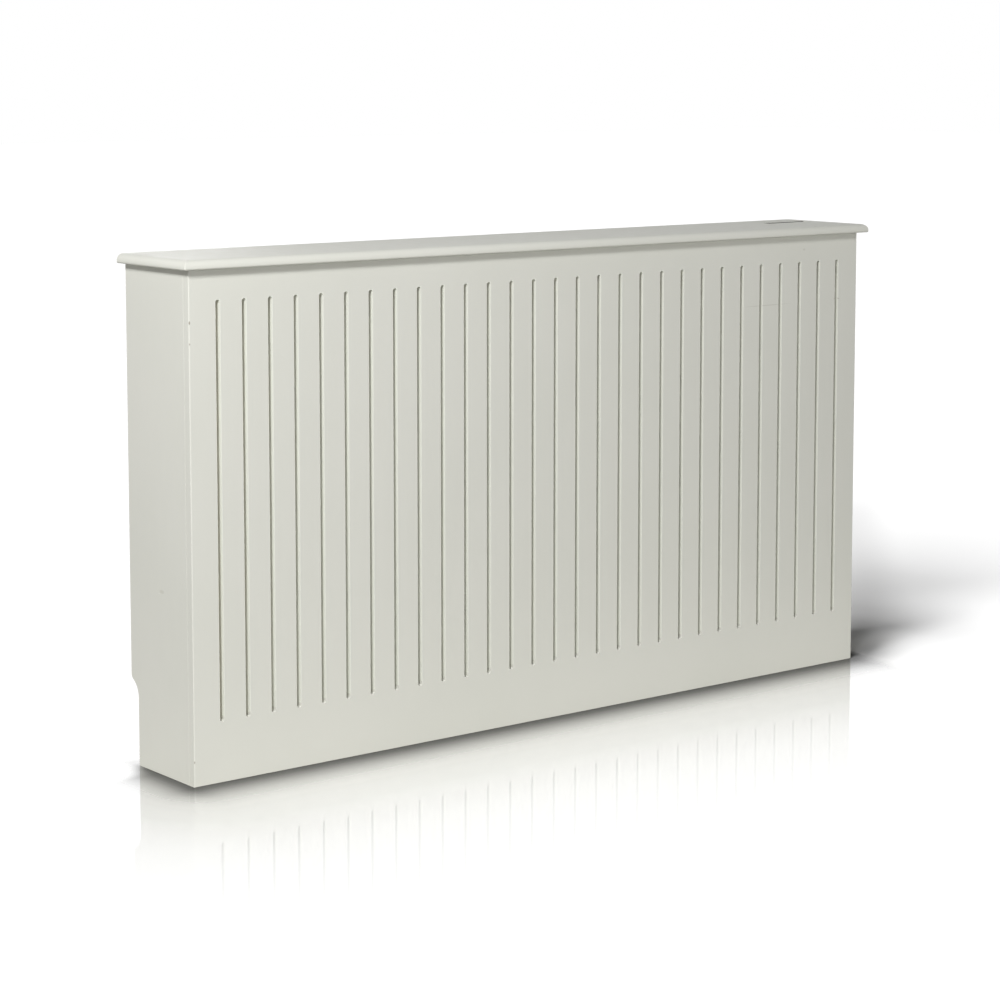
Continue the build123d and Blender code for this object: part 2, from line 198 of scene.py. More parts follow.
wear = {
    # centre, half sizes, colour, strength
    "front": [
        ((-0.7485, -0.0885, 0.750), (0.0016, 0.0016, 0.0040), (0.20, 0.17, 0.12), 0.75),
        ((-0.7485, -0.0885, 0.716), (0.0013, 0.0013, 0.0026), (0.24, 0.20, 0.15), 0.65),
        ((-0.7488, -0.0882, 0.041), (0.0014, 0.0014, 0.0034), (0.22, 0.18, 0.13), 0.70),
        ((0.5120, -0.0890, 0.7066), (0.0750, 0.0020, 0.0012), (0.50, 0.49, 0.43), 0.42),
        ((0.6965, -0.0890, 0.7090), (0.0110, 0.0020, 0.0016), (0.36, 0.33, 0.26), 0.50),
        ((0.6080, -0.0890, 0.8070), (0.0046, 0.0020, 0.0026), (0.50, 0.49, 0.43), 0.40),
    ],
    "cover": [
        ((-0.7500, 0.0040, 0.3050), (0.0020, 0.0090, 0.0042), (0.56, 0.55, 0.48), 0.55),
        ((-0.7500, 0.0120, 0.3010), (0.0020, 0.0040, 0.0016), (0.80, 0.80, 0.74), 0.50),
    ],
}


def insideMask(tree, place):
    # 1 on the faces that look into the cabinet, 0 on all that the spray gun reached
    x, y, z = splitOf(tree, place)
    return times(tree, isUnder(tree, sizeOf(tree, x), sideInner + nearPlane),
                 isOver(tree, y, frontBack - nearPlane), isUnder(tree, z, underTop + nearPlane))


def slotPaintedLightMask(tree, place):
    # 1 inside the slots and on their mouths, where the painted light goes
    x, y, z = splitOf(tree, place)
    pitch, half = slotRow["pitch"], slotRow["half"]
    nearest = times(tree, mathOf(tree, "ROUND", mathOf(tree, "DIVIDE", x, pitch)), pitch)
    beside = spread(tree, sizeOf(tree, minus(tree, x, nearest)), half, half + slotRow["soft"], 1.0, 0.0,
                    smooth=False)
    within = times(tree, isOver(tree, z, slotRow["low"]), isUnder(tree, z, slotRow["high"]))
    return times(tree, beside, isUnder(tree, sizeOf(tree, x), slotRow["reach"]), within)


def marked(tree, place, coat, marks):
    # small soft-edged spots
    for centre, size, colour, strength in marks:
        inward = mapped(tree, place, move=tuple(-middle / half for middle, half in zip(centre, size)),
                        scale=tuple(1 / half for half in size))
        off = addNode(tree, "ShaderNodeVectorMath", {0: inward}, operation="LENGTH").outputs["Value"]
        coat = mixOf(tree, spread(tree, off, paintSetup["markCore"], 1.0, strength, 0.0), coat, colour)
    return coat


def paintedBoard(name, tint=1.0, slotted=False, marks=(), paintedGapShade=False):
    setup = paintSetup
    material, tree, shader, place = newMaterial(name)
    base, cloud = (tuple(channel * tint for channel in setup[tone]) for tone in ("colour", "cloudy"))
    clouds = noiseOf(tree, place, *setup["clouds"])
    coat = mixOf(tree, spread(tree, clouds, *setup["cloudEdges"]), base, cloud)
    # inside it is bare board: fine short fibres, and a haze of paint where the spray drifted in
    fibres = noiseOf(tree, place, *setup["fibres"])
    raw = mixOf(tree, spread(tree, fibres, *setup["fibreEdges"]), setup["rawBoard"], setup["rawFibre"])
    haze = spread(tree, clouds, *setup["hazeEdges"], 0.0, setup["hazeMost"])
    raw = mixOf(tree, haze, raw, setup["overspray"])
    hidden = insideMask(tree, place)
    # painted light: the slots' walls and mouths get the lighter colour
    if slotted:
        coat = mixOf(tree, slotPaintedLightMask(tree, place), coat, setup["slotPaintedLight"])
    coat = marked(tree, place, coat, marks)
    # painted shade: the lid's front edge is coloured nearly black for the shade in the finger gap
    if paintedGapShade:
        x, y, z = splitOf(tree, place)
        inGapShade = times(tree, isUnder(tree, y, lidFront + setup["lidEdgeDepth"]),
                       isUnder(tree, z, topFace - setup["lidEdgeTop"]))
        coat = mixOf(tree, inGapShade, coat, setup["lidGapShade"])
    tree.links.new(mixOf(tree, hidden, coat, raw), shader.inputs["Base Color"])
    shader.inputs["Specular IOR Level"].default_value = setup["specular"]
    peel = noiseOf(tree, place, *setup["peel"])
    brush = noiseOf(tree, mapped(tree, place, scale=setup["brushStretch"]), *setup["brush"])
    roughness = spread(tree, brush, *setup["brushEdges"], *setup["roughness"])
    roughness = mathOf(tree, "MAXIMUM", roughness, times(tree, hidden, setup["insideRoughness"]))
    tree.links.new(roughness, shader.inputs["Roughness"])
    reliefOf(tree, shader, peel, setup["peelShare"], brush, setup["bump"])
    return material


coverPaint = paintedBoard("coverPaint", marks=wear["cover"])
frontPaint = paintedBoard("frontPaint", slotted=True, marks=wear["front"])
hatchPaint = paintedBoard("hatchPaint", paintSetup["lidTint"], paintedGapShade=True)
print("paint mixed")


# wood, all cut from the solid: rings round a pith that lies beside each piece

woodSetup = {
    "early": (0.64, 0.45, 0.25),
    "late": (0.43, 0.25, 0.115),
    "sap": (0.71, 0.54, 0.33),
    "ringWidth": 0.0032,
    "drift": 0.0045,  # how far the rings wander along the piece
}
# beech has close pale rings and short dark flecks
beechSetup = {
    "early": (0.66, 0.46, 0.28),
    "late": (0.56, 0.37, 0.21),
    "sap": (0.62, 0.42, 0.25),
    "ringWidth": 0.0016,
    "drift": 0.0006,
}
grainSetup = {
    # the same for both woods
    "stretch": (0.12, 1.0, 1.0),
    "wander": (22.0, 2.0, 0.4),
    "ringStops": ((0.0, "early"), (0.55, "early"), (0.88, "late"), (0.94, "late"), (1.0, "early")),
    "tone": (9.0, 3.0, 0.5),
    "toneEdges": (0.35, 0.7, 0.0, 0.6),
    "fibreStretch": (0.02, 1.0, 1.0),
    "fibre": (1400.0, 2.0, 0.6),
    "fibreEdges": (0.3, 0.75, 0.0, 0.35),
    "roughness": (0.3, 0.7, 0.5, 0.72),
    "ringShare": 0.35,
    "bump": {"Strength": 0.25, "Distance": 0.0006},
}
beechPith = (0.0, 0.03, 0.02)
battenGrain = {
    # node: (sawn along, pith beside it)
    "front_top_batten": ("X", (0.0, 0.030, -0.790)),
    "lower_front_batten": ("X", (0.0, 0.140, 0.010)),
    "left_top_batten": ("Y", (0.0, -0.700, -0.770)),
    "right_top_batten": ("Y", (0.0, 0.790, -0.800)),
    "left_corner_batten": ("Z", (0.0, 0.110, -0.740)),
    "right_corner_batten": ("Z", (0.0, 0.020, 0.760)),
    "wall_rail": ("X", (0.0, -0.030, -0.860)),
    "hatch_cleat": ("Y", (0.0, 0.650, -0.840)),
}


def planedWood(name, along, pith, look):
    # along is the axis that the piece was sawn on, pith the middle of the tree beside the piece
    setup = grainSetup
    material, tree, shader, place = newMaterial(name)
    spin = {"X": (0.0, 0.0, 0.0), "Y": (0.0, 0.0, -math.pi / 2), "Z": (0.0, math.pi / 2, 0.0)}[along]
    lying = mapped(tree, place, turn=spin)
    x, y, z = splitOf(tree, mapped(tree, lying, move=pith))
    stretched = mapped(tree, lying, scale=setup["stretch"])
    wander = times(tree, minus(tree, noiseOf(tree, stretched, *setup["wander"]), 0.5), 2 * look["drift"])
    radius = mathOf(tree, "SQRT", sumOf(tree, times(tree, y, y), times(tree, z, z)))
    ring = mathOf(tree, "FRACT", mathOf(tree, "DIVIDE", sumOf(tree, radius, wander), look["ringWidth"]))
    band = rampOf(tree, ring, [(stop, look[tone]) for stop, tone in setup["ringStops"]])
    tone = noiseOf(tree, stretched, *setup["tone"])
    coat = mixOf(tree, spread(tree, tone, *setup["toneEdges"]), band, look["sap"])
    fibre = noiseOf(tree, mapped(tree, lying, scale=setup["fibreStretch"]), *setup["fibre"])
    coat = mixOf(tree, spread(tree, fibre, *setup["fibreEdges"]), coat, look["late"])
    tree.links.new(coat, shader.inputs["Base Color"])
    tree.links.new(spread(tree, fibre, *setup["roughness"]), shader.inputs["Roughness"])
    reliefOf(tree, shader, ring, setup["ringShare"], fibre, setup["bump"])
    return material


zincSetup = {
    "crystal": (0.35, 0.34, 0.32),
    "crystalsAcross": 9,  # in each cloud
    "crystalEdges": (0.0, 0.8, 0.0, 0.18),
    "cloud": (4.0, 0.6),
    "cloudEdges": (0.35, 0.65),
    "roughEdges": (0.3, 0.7),
    "smoother": 0.07,
    "rougher": 0.12,
    "bump": {"Strength": 0.12, "Distance": 0.0004},
}


def plated(name, colour, bloom, patch, roughness):
    # a thin zinc coat: cloudy bloom, fine crystals and some rubbed spots
    setup = zincSetup
    material, tree, shader, place = newMaterial(name)
    clouds = noiseOf(tree, place, patch, *setup["cloud"])
    crystals = addNode(tree, "ShaderNodeTexVoronoi", {
        "Vector": place, "Scale": patch * setup["crystalsAcross"]}).outputs["Distance"]
    coat = mixOf(tree, spread(tree, clouds, *setup["cloudEdges"]), colour, bloom)
    coat = mixOf(tree, spread(tree, crystals, *setup["crystalEdges"]), coat, setup["crystal"])
    tree.links.new(coat, shader.inputs["Base Color"])
    shader.inputs["Metallic"].default_value = 1.0
    tree.links.new(spread(tree, clouds, *setup["roughEdges"], roughness - setup["smoother"],
                          roughness + setup["rougher"]), shader.inputs["Roughness"])
    bump = addNode(tree, "ShaderNodeBump", {"Height": crystals, **setup["bump"]})
    tree.links.new(bump.outputs[0], shader.inputs["Normal"])
    return material


yellowZinc = plated("yellowZinc", (0.58, 0.46, 0.21), (0.54, 0.41, 0.25), 260.0, 0.30)
brightZinc = plated("brightZinc", (0.40, 0.41, 0.43), (0.31, 0.325, 0.35), 90.0, 0.34)
beech = planedWood("beech", "Z", beechPith, beechSetup)
beechAcross = planedWood("beechAcross", "X", beechPith, beechSetup)
battenWood = {nodeName: planedWood(nodeName + "Grain", along, pith, woodSetup)
              for nodeName, (along, pith) in battenGrain.items()}
print("wood and zinc mixed")


# geometry trees, and how a piece is baked

bakeSetup = {
    "smoothUpTo": 35.0,  # faces that meet at more degrees than this keep a crisp edge
    "weldWithin": 0.000005,
    "flatWithin": 0.4,
    "sharpFrom": 50.0,
}


def newTree(name, **labels):
    # the labels of the inputs, by the kind of their sockets
    tree = bpy.data.node_groups.new(name, "GeometryNodeTree")
    for kind, names in labels.items():
        for label in names.split():
            tree.interface.new_socket(label, in_out="INPUT", socket_type="NodeSocket" + kind)
    tree.interface.new_socket("Geometry", in_out="OUTPUT", socket_type="NodeSocketGeometry")
    return tree, addNode(tree, "NodeGroupInput").outputs, addNode(tree, "NodeGroupOutput").inputs[0]


def geometryOf(tree, kind, inputs=None, **settings):
    return addNode(tree, "GeometryNode" + kind, inputs, **settings).outputs[0]


def joined(tree, *parts):
    node = addNode(tree, "GeometryNodeJoinGeometry")
    for part in reversed(parts):
        tree.links.new(part, node.inputs[0])
    return node.outputs[0]


def linkedMesh(mesh, name):
    thing = bpy.data.objects.new(name, mesh)
    bpy.context.scene.collection.objects.link(thing)
    return thing


def baked(seed, name, bevel=None, weighted=True):
    # applies the seed's modifiers, with the bevel and the shading if asked for, and leaves one plain mesh
    if bevel:
        edge = seed.modifiers.new("edges", "BEVEL")
        edge.width, edge.segments = bevel
        edge.limit_method = "WEIGHT"
        edge.use_clamp_overlap = False
        edge.loop_slide = False
    if weighted:
        seed.modifiers.new("shading", "WEIGHTED_NORMAL").keep_sharp = True
    mesh = bpy.data.meshes.new_from_object(seed.evaluated_get(bpy.context.evaluated_depsgraph_get()))
    mesh.name = name
    bpy.data.objects.remove(seed)
    return linkedMesh(mesh, name)


def grown(name, tree, values, start=None, bevel=None):
    # runs a geometry tree on a seed and bakes what comes out
    seed = linkedMesh(start or bpy.data.meshes.new(name + "Seed"), name + "Seed")
    modifier = seed.modifiers.new("tree", "NODES")
    modifier.node_group = tree
    for item in tree.interface.items_tree:
        if item.in_out == "INPUT" and item.name in values:
            modifier[item.identifier] = values[item.name]
    return baked(seed, name, bevel, weighted=bevel is not None)


def bent(mesh):
    # smooth shading, but crisp at the sharper edges
    work = bmesh.new()
    work.from_mesh(mesh)
    for face in work.faces:
        face.smooth = True
    for edge in work.edges:
        edge.smooth = not (edge.is_manifold and
                           edge.calc_face_angle() > math.radians(bakeSetup["smoothUpTo"]))
    work.to_mesh(mesh)
    work.free()


def settled(piece, body, slot, *nodes):
    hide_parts(*nodes)
    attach(piece, body)


# the slotted front, set out as the slots are routed: one slot, stepped along

frontSetup = {
    "slots": 29,
    "slotWidth": 0.008,
    "endMargin": 0.050,
    "topMargin": 0.050,
    "footMargin": 0.100,
    "roundSteps": 8,
    "weld": 0.00002,
    "bevel": (0.002, 4),  # width, steps
    "upright": 1.0,  # shares of the bevel: corner uprights, slot mouths, foot and seam
    "mouth": 0.22,
    "foot": 0.4,
    "seam": 0.45,
    "sharpFrom": 60.0,  # edges at more degrees than this can be rounded
    "crispFrom": 35.0,
    "leastShare": 0.01,  # an edge with less than this of the bevel stays crisp
    "endRound": 0.4999,  # of the slot's width, just under half for round ends
}


def slottedFrontTree():
    tree, given, sink = newTree(
        "slottedFront", Int="slots roundSteps", Material="paint",
        Float="width height thickness back slotWidth endMargin topMargin footMargin upright mouth foot seam")
    halfWidth = times(tree, given["width"], 0.5)
    slotLength = minus(tree, given["height"], given["topMargin"], given["footMargin"])
    middle = sumOf(tree, given["footMargin"], times(tree, slotLength, 0.5))
    reach = minus(tree, halfWidth, given["endMargin"], times(tree, given["slotWidth"], 0.5))
    step = mathOf(tree, "DIVIDE", times(tree, reach, 2.0), minus(tree, given["slots"], 1.0))
    # one tile with a slot in it, stepped along, and a plain strip at each end
    lift = times(tree, given["height"], 0.5)
    tile = geometryOf(tree, "CurvePrimitiveQuadrilateral", {"Width": step, "Height": given["height"]})
    tile = geometryOf(tree, "Transform", {"Geometry": tile, "Translation": vectorOf(tree, 0.0, lift)})
    slot = geometryOf(tree, "CurvePrimitiveQuadrilateral", {"Width": given["slotWidth"],
                                                            "Height": slotLength})
    slot = geometryOf(tree, "FilletCurve", {
        "Curve": slot, "Count": given["roundSteps"],
        "Radius": times(tree, given["slotWidth"], frontSetup["endRound"])}, mode="POLY")
    slot = geometryOf(tree, "Transform", {"Geometry": slot, "Translation": vectorOf(tree, 0.0, middle)})
    tile = geometryOf(tree, "FillCurve", {"Curve": joined(tree, tile, slot)})
    row = geometryOf(tree, "MeshLine", {
        "Count": given["slots"], "Start Location": vectorOf(tree, times(tree, reach, -1.0)),
        "Offset": vectorOf(tree, step)}, mode="OFFSET")
    parts = [geometryOf(tree, "InstanceOnPoints", {"Points": row, "Instance": tile})]
    strip = minus(tree, halfWidth, reach, times(tree, step, 0.5))
    end = geometryOf(tree, "MeshGrid", {"Size X": strip, "Size Y": given["height"],
                                        "Vertices X": 2, "Vertices Y": 2})
    for side in (-1.0, 1.0):
        across = times(tree, minus(tree, given["width"], strip), side * 0.5)
        parts.append(geometryOf(tree, "Transform", {
            "Geometry": end, "Translation": vectorOf(tree, across, lift)}))
    sheet = geometryOf(tree, "RealizeInstances", {"Geometry": joined(tree, *parts)})
    sheet = geometryOf(tree, "MergeByDistance", {"Geometry": sheet, "Distance": frontSetup["weld"]})
    thick = geometryOf(tree, "ExtrudeMesh", {"Mesh": sheet, "Offset Scale": given["thickness"],
                                             "Individual": False})
    back = geometryOf(tree, "FlipFaces", {"Mesh": sheet})
    solid = geometryOf(tree, "MergeByDistance", {"Geometry": joined(tree, thick, back),
                                                 "Distance": frontSetup["weld"]})
    solid = geometryOf(tree, "Transform", {
        "Geometry": solid, "Translation": vectorOf(tree, 0.0, given["back"]),
        "Rotation": (math.pi / 2, 0.0, 0.0)})
    # which edges get rounded, and how much
    angle = geometryOf(tree, "InputMeshEdgeAngle")
    sharp = isOver(tree, angle, math.radians(frontSetup["sharpFrom"]))
    x, y, z = splitOf(tree, geometryOf(tree, "InputPosition"))
    face = minus(tree, given["back"], given["thickness"])
    atFace = isUnder(tree, y, sumOf(tree, face, nearPlane))
    atBack = isOver(tree, y, minus(tree, given["back"], nearPlane))
    atEnd = isOver(tree, sizeOf(tree, x), minus(tree, halfWidth, nearPlane))
    atFoot = isUnder(tree, z, nearPlane)
    atTop = isOver(tree, z, minus(tree, given["height"], nearPlane))
    onFace = sumOf(tree, times(tree, atEnd, given["upright"]), times(tree, atFoot, given["foot"]))
    onRim = mathOf(tree, "MAXIMUM", atEnd, mathOf(tree, "MAXIMUM", atFoot, atTop))
    onFace = sumOf(tree, onFace, times(tree, minus(tree, 1.0, onRim), given["mouth"]))
    onBack = times(tree, atEnd, given["seam"])
    weight = sumOf(tree, times(tree, atFace, onFace), times(tree, atBack, onBack))
    weight = times(tree, weight, sharp)
    solid = geometryOf(tree, "StoreNamedAttribute", {
        "Geometry": solid, "Name": "bevel_weight_edge", "Value": weight}, data_type="FLOAT", domain="EDGE")
    crisp = times(tree, isOver(tree, angle, math.radians(frontSetup["crispFrom"])),
                  isUnder(tree, weight, frontSetup["leastShare"]))
    solid = geometryOf(tree, "SetShadeSmooth", {"Geometry": solid, "Shade Smooth": True})
    solid = geometryOf(tree, "SetShadeSmooth", {"Geometry": solid, "Selection": crisp,
                                                "Shade Smooth": False}, domain="EDGE")
    solid = geometryOf(tree, "RealizeInstances", {"Geometry": solid})
    solid = geometryOf(tree, "SetMaterial", {"Geometry": solid, "Material": given["paint"]})
    tree.links.new(solid, sink)
    return tree


low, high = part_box("front_panel")
slottedFront = grown("slottedFront", slottedFrontTree(), {
    **frontSetup, "width": high.x - low.x, "height": high.z - low.z, "thickness": high.y - low.y,
    "back": high.y, "paint": frontPaint}, bevel=frontSetup["bevel"])
settled(slottedFront, "cabinet", "painted_board", "front_panel")
print("slotted front:", len(slottedFront.data.polygons), "faces")


# the top board: a moulded edge along the front and both ends, square at the wall and round the hatch

topSetup = {
    "cornerRadius": 0.002,  # seen from above
    "cornerSoft": 0.0005,  # what is left of it where the moulding runs round
    "cornerSteps": 10,
    "topRound": 0.012,
    "topTurns": (0, 9, 18, 27, 36, 45, 54, 62, 70, 76, 82, 86, 90),
    "underRound": 0.003,
    "underTurns": (0, 25, 50, 70, 90),
    "arris": 0.0006,  # on the square edges
    "hatchLeft": 0.624,
    "hatchRight": 0.734,
    "hatchFront": 0.025,
    "hatchCorner": 0.003,
    "hatchSteps": 5,
}


def arcOf(centreX, centreY, radius, start, sweep, steps):
    turns = [math.radians(start + sweep * step / steps) for step in range(steps + 1)]
    return [(centreX + radius * math.cos(turn), centreY + radius * math.sin(turn)) for turn in turns]


def topRing(low, high, moulded, square):
    # once round the board from the front left corner, drawn in by the moulding in front and at the
    # ends, and by the plain arris along the wall and round the hatch
    corner = max(topSetup["cornerRadius"] - moulded, topSetup["cornerSoft"])
    near, steps = low.y + moulded + corner, topSetup["cornerSteps"]
    ring = arcOf(low.x + moulded + corner, near, corner, 180.0, 90.0, steps)
    ring += arcOf(high.x - moulded - corner, near, corner, 270.0, 90.0, steps)
    left, right, front = topSetup["hatchLeft"], topSetup["hatchRight"], topSetup["hatchFront"]
    inner, steps = topSetup["hatchCorner"], topSetup["hatchSteps"]
    ring += [(high.x - moulded, high.y - square), (right + square, high.y - square)]
    ring += arcOf(right - inner, front + inner, inner + square, 0.0, -90.0, steps)
    ring += arcOf(left + inner, front + inner, inner + square, -90.0, -90.0, steps)
    return ring + [(left - square, high.y - square), (low.x + moulded, high.y - square)]


def edgeProfile(thickness):
    # insets of the moulded and the square sides, and the height they go with
    upper, under, arris = topSetup["topRound"], topSetup["underRound"], topSetup["arris"]
    heights = [under * (1 - math.cos(math.radians(turn))) for turn in topSetup["underTurns"]]
    heights += [thickness - upper + upper * math.sin(math.radians(turn)) for turn in topSetup["topTurns"]]

    def rounded(radius, fromEnd):
        return radius - math.sqrt(max(radius ** 2 - (radius - fromEnd) ** 2, 0.0)) if fromEnd < radius else 0.0

    return [(max(rounded(under, height), rounded(upper, thickness - height)),
             max(rounded(arris, height), rounded(arris, thickness - height)), height) for height in heights]


def mouldedTop():
    low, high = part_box("top_board")
    work = bmesh.new()
    rings = []
    for moulded, square, height in edgeProfile(high.z - low.z):
        rings.append([work.verts.new((x, y, low.z + height)) for x, y in topRing(low, high, moulded, square)])
    for lower, upper in zip(rings, rings[1:]):
        for index in range(len(lower)):
            after = (index + 1) % len(lower)
            work.faces.new((lower[index], lower[after], upper[after], upper[index]))
    work.faces.new(rings[-1])
    work.faces.new(rings[0][::-1])
    bmesh.ops.recalc_face_normals(work, faces=work.faces)
    mesh = bpy.data.meshes.new("topBoardMesh")
    work.to_mesh(mesh)
    work.free()
    bent(mesh)
    mesh.materials.append(coverPaint)
    return baked(linkedMesh(mesh, "topBoardSeed"), "mouldedTopBoard")


topBoard = mouldedTop()
settled(topBoard, "cabinet", "painted_board", "top_board")
print("moulded top:", len(topBoard.data.polygons), "faces")


# battens, side panels, dowels and plates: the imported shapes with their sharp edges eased

def eased(nodeName, name, width, steps, wanted, material):
    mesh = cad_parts[nodeName].data.copy()
    work = bmesh.new()
    work.from_mesh(mesh)
    bmesh.ops.remove_doubles(work, verts=work.verts, dist=bakeSetup["weldWithin"])
    bmesh.ops.dissolve_limit(work, angle_limit=math.radians(bakeSetup["flatWithin"]), verts=work.verts,
                             edges=work.edges)
    weight = work.edges.layers.float.new("bevel_weight_edge")
    sharpFrom = math.radians(bakeSetup["sharpFrom"])
    for edge in work.edges:
        turned = edge.is_manifold and edge.calc_face_angle() > sharpFrom and edge.is_convex
        first, last = (vert.co for vert in edge.verts)
        edge[weight] = 1.0 if turned and wanted(first, last) else 0.0
    work.to_mesh(mesh)
    work.free()
    if "custom_normal" in mesh.attributes:
        mesh.attributes.remove(mesh.attributes["custom_normal"])
    bent(mesh)
    mesh.materials.clear()
    mesh.materials.append(material)
    return baked(linkedMesh(mesh, name + "Seed"), name, (width, steps))


easedSetup = {
    "batten": (0.0009, 3),  # width, steps
    "longFrom": 0.1,
    "panel": (0.0008, 3),
    "panelNear": 0.0001,  # how close to the outer face an edge has to lie
    "clearOfFront": 0.002,
    "clearOfTop": 0.001,
    "smallSteps": 2,
    "shortFrom": 0.012,
}


def longEdge(first, last):
    return (first - last).length > easedSetup["longFrom"]


def shortEdge(first, last):
    return (first - last).length > easedSetup["shortFrom"]


def anyEdge(first, last):
    return True


def outerRim(first, last):
    # round the outer face, but not where the top and the front close it off
    onFace = min(abs(first.x), abs(last.x)) > sideOuter - easedSetup["panelNear"]
    clearOfFront = max(first.y, last.y) > frontBack + easedSetup["clearOfFront"]
    return onFace and clearOfFront and min(first.z, last.z) < underTop - easedSetup["clearOfTop"]


battenPieces = {
    # node: piece
    "front_top_batten": "frontTopBatten",
    "lower_front_batten": "lowerFrontBatten",
    "left_top_batten": "leftTopBatten",
    "right_top_batten": "rightTopBatten",
    "left_corner_batten": "leftCornerBatten",
    "right_corner_batten": "rightCornerBatten",
    "wall_rail": "wallRail",
}
for nodeName, pieceName in battenPieces.items():
    batten = eased(nodeName, pieceName, *easedSetup["batten"], longEdge, battenWood[nodeName])
    settled(batten, "cabinet", "batten_wood", nodeName)
    print(pieceName, len(batten.data.polygons), "faces")

for nodeName, pieceName in (("left_side_panel", "leftSidePanel"), ("right_side_panel", "rightSidePanel")):
    panel = eased(nodeName, pieceName, *easedSetup["panel"], outerRim, coverPaint)
    settled(panel, "cabinet", "painted_board", nodeName)
    print(pieceName, len(panel.data.polygons), "faces")

smallPieces = {
    # node: (piece, body, slot, arris, which edges, finish)
    "valve_hatch": ("valveHatch", "hatch", "painted_board", 0.0004, shortEdge, hatchPaint),
    "hatch_cleat": ("hatchCleat", "cabinet", "batten_wood", 0.0008, shortEdge, battenWood["hatch_cleat"]),
    "left_hanger_plate": ("leftHangerPlate", "cabinet", "hanger_steel", 0.00025, anyEdge, brightZinc),
    "right_hanger_plate": ("rightHangerPlate", "cabinet", "hanger_steel", 0.00025, anyEdge, brightZinc),
    "top_dowels": ("topDowels", "cabinet", "dowel_wood", 0.0006, anyEdge, beech),
    "rail_dowels": ("railDowels", "cabinet", "dowel_wood", 0.0006, anyEdge, beechAcross),
    "hatch_locating_pins": ("hatchPins", "hatch", "dowel_wood", 0.0005, anyEdge, beech),
}
for nodeName, (pieceName, body, slot, arris, edges, finish) in smallPieces.items():
    piece = eased(nodeName, pieceName, arris, easedSetup["smallSteps"], edges, finish)
    settled(piece, body, slot, nodeName)
    print(pieceName, len(piece.data.polygons), "faces")


# wood screws, one tree for every size: rim, countersink, shank, tip and a cross recess

screwSetup = {
    "sides": 24,
    "rim": 0.0005,
    "rimRound": 0.00015,
    "crossLength": 0.0044,
    "crossWidth": 0.0009,
    "crossDepth": 0.0014,
    "crossTaper": 0.55,
    "tip": 0.004,
    "weld": 0.00001,
    "crispFrom": 40.0,
    "ringNear": 0.0004,  # how close to its end a packed screw is measured
}


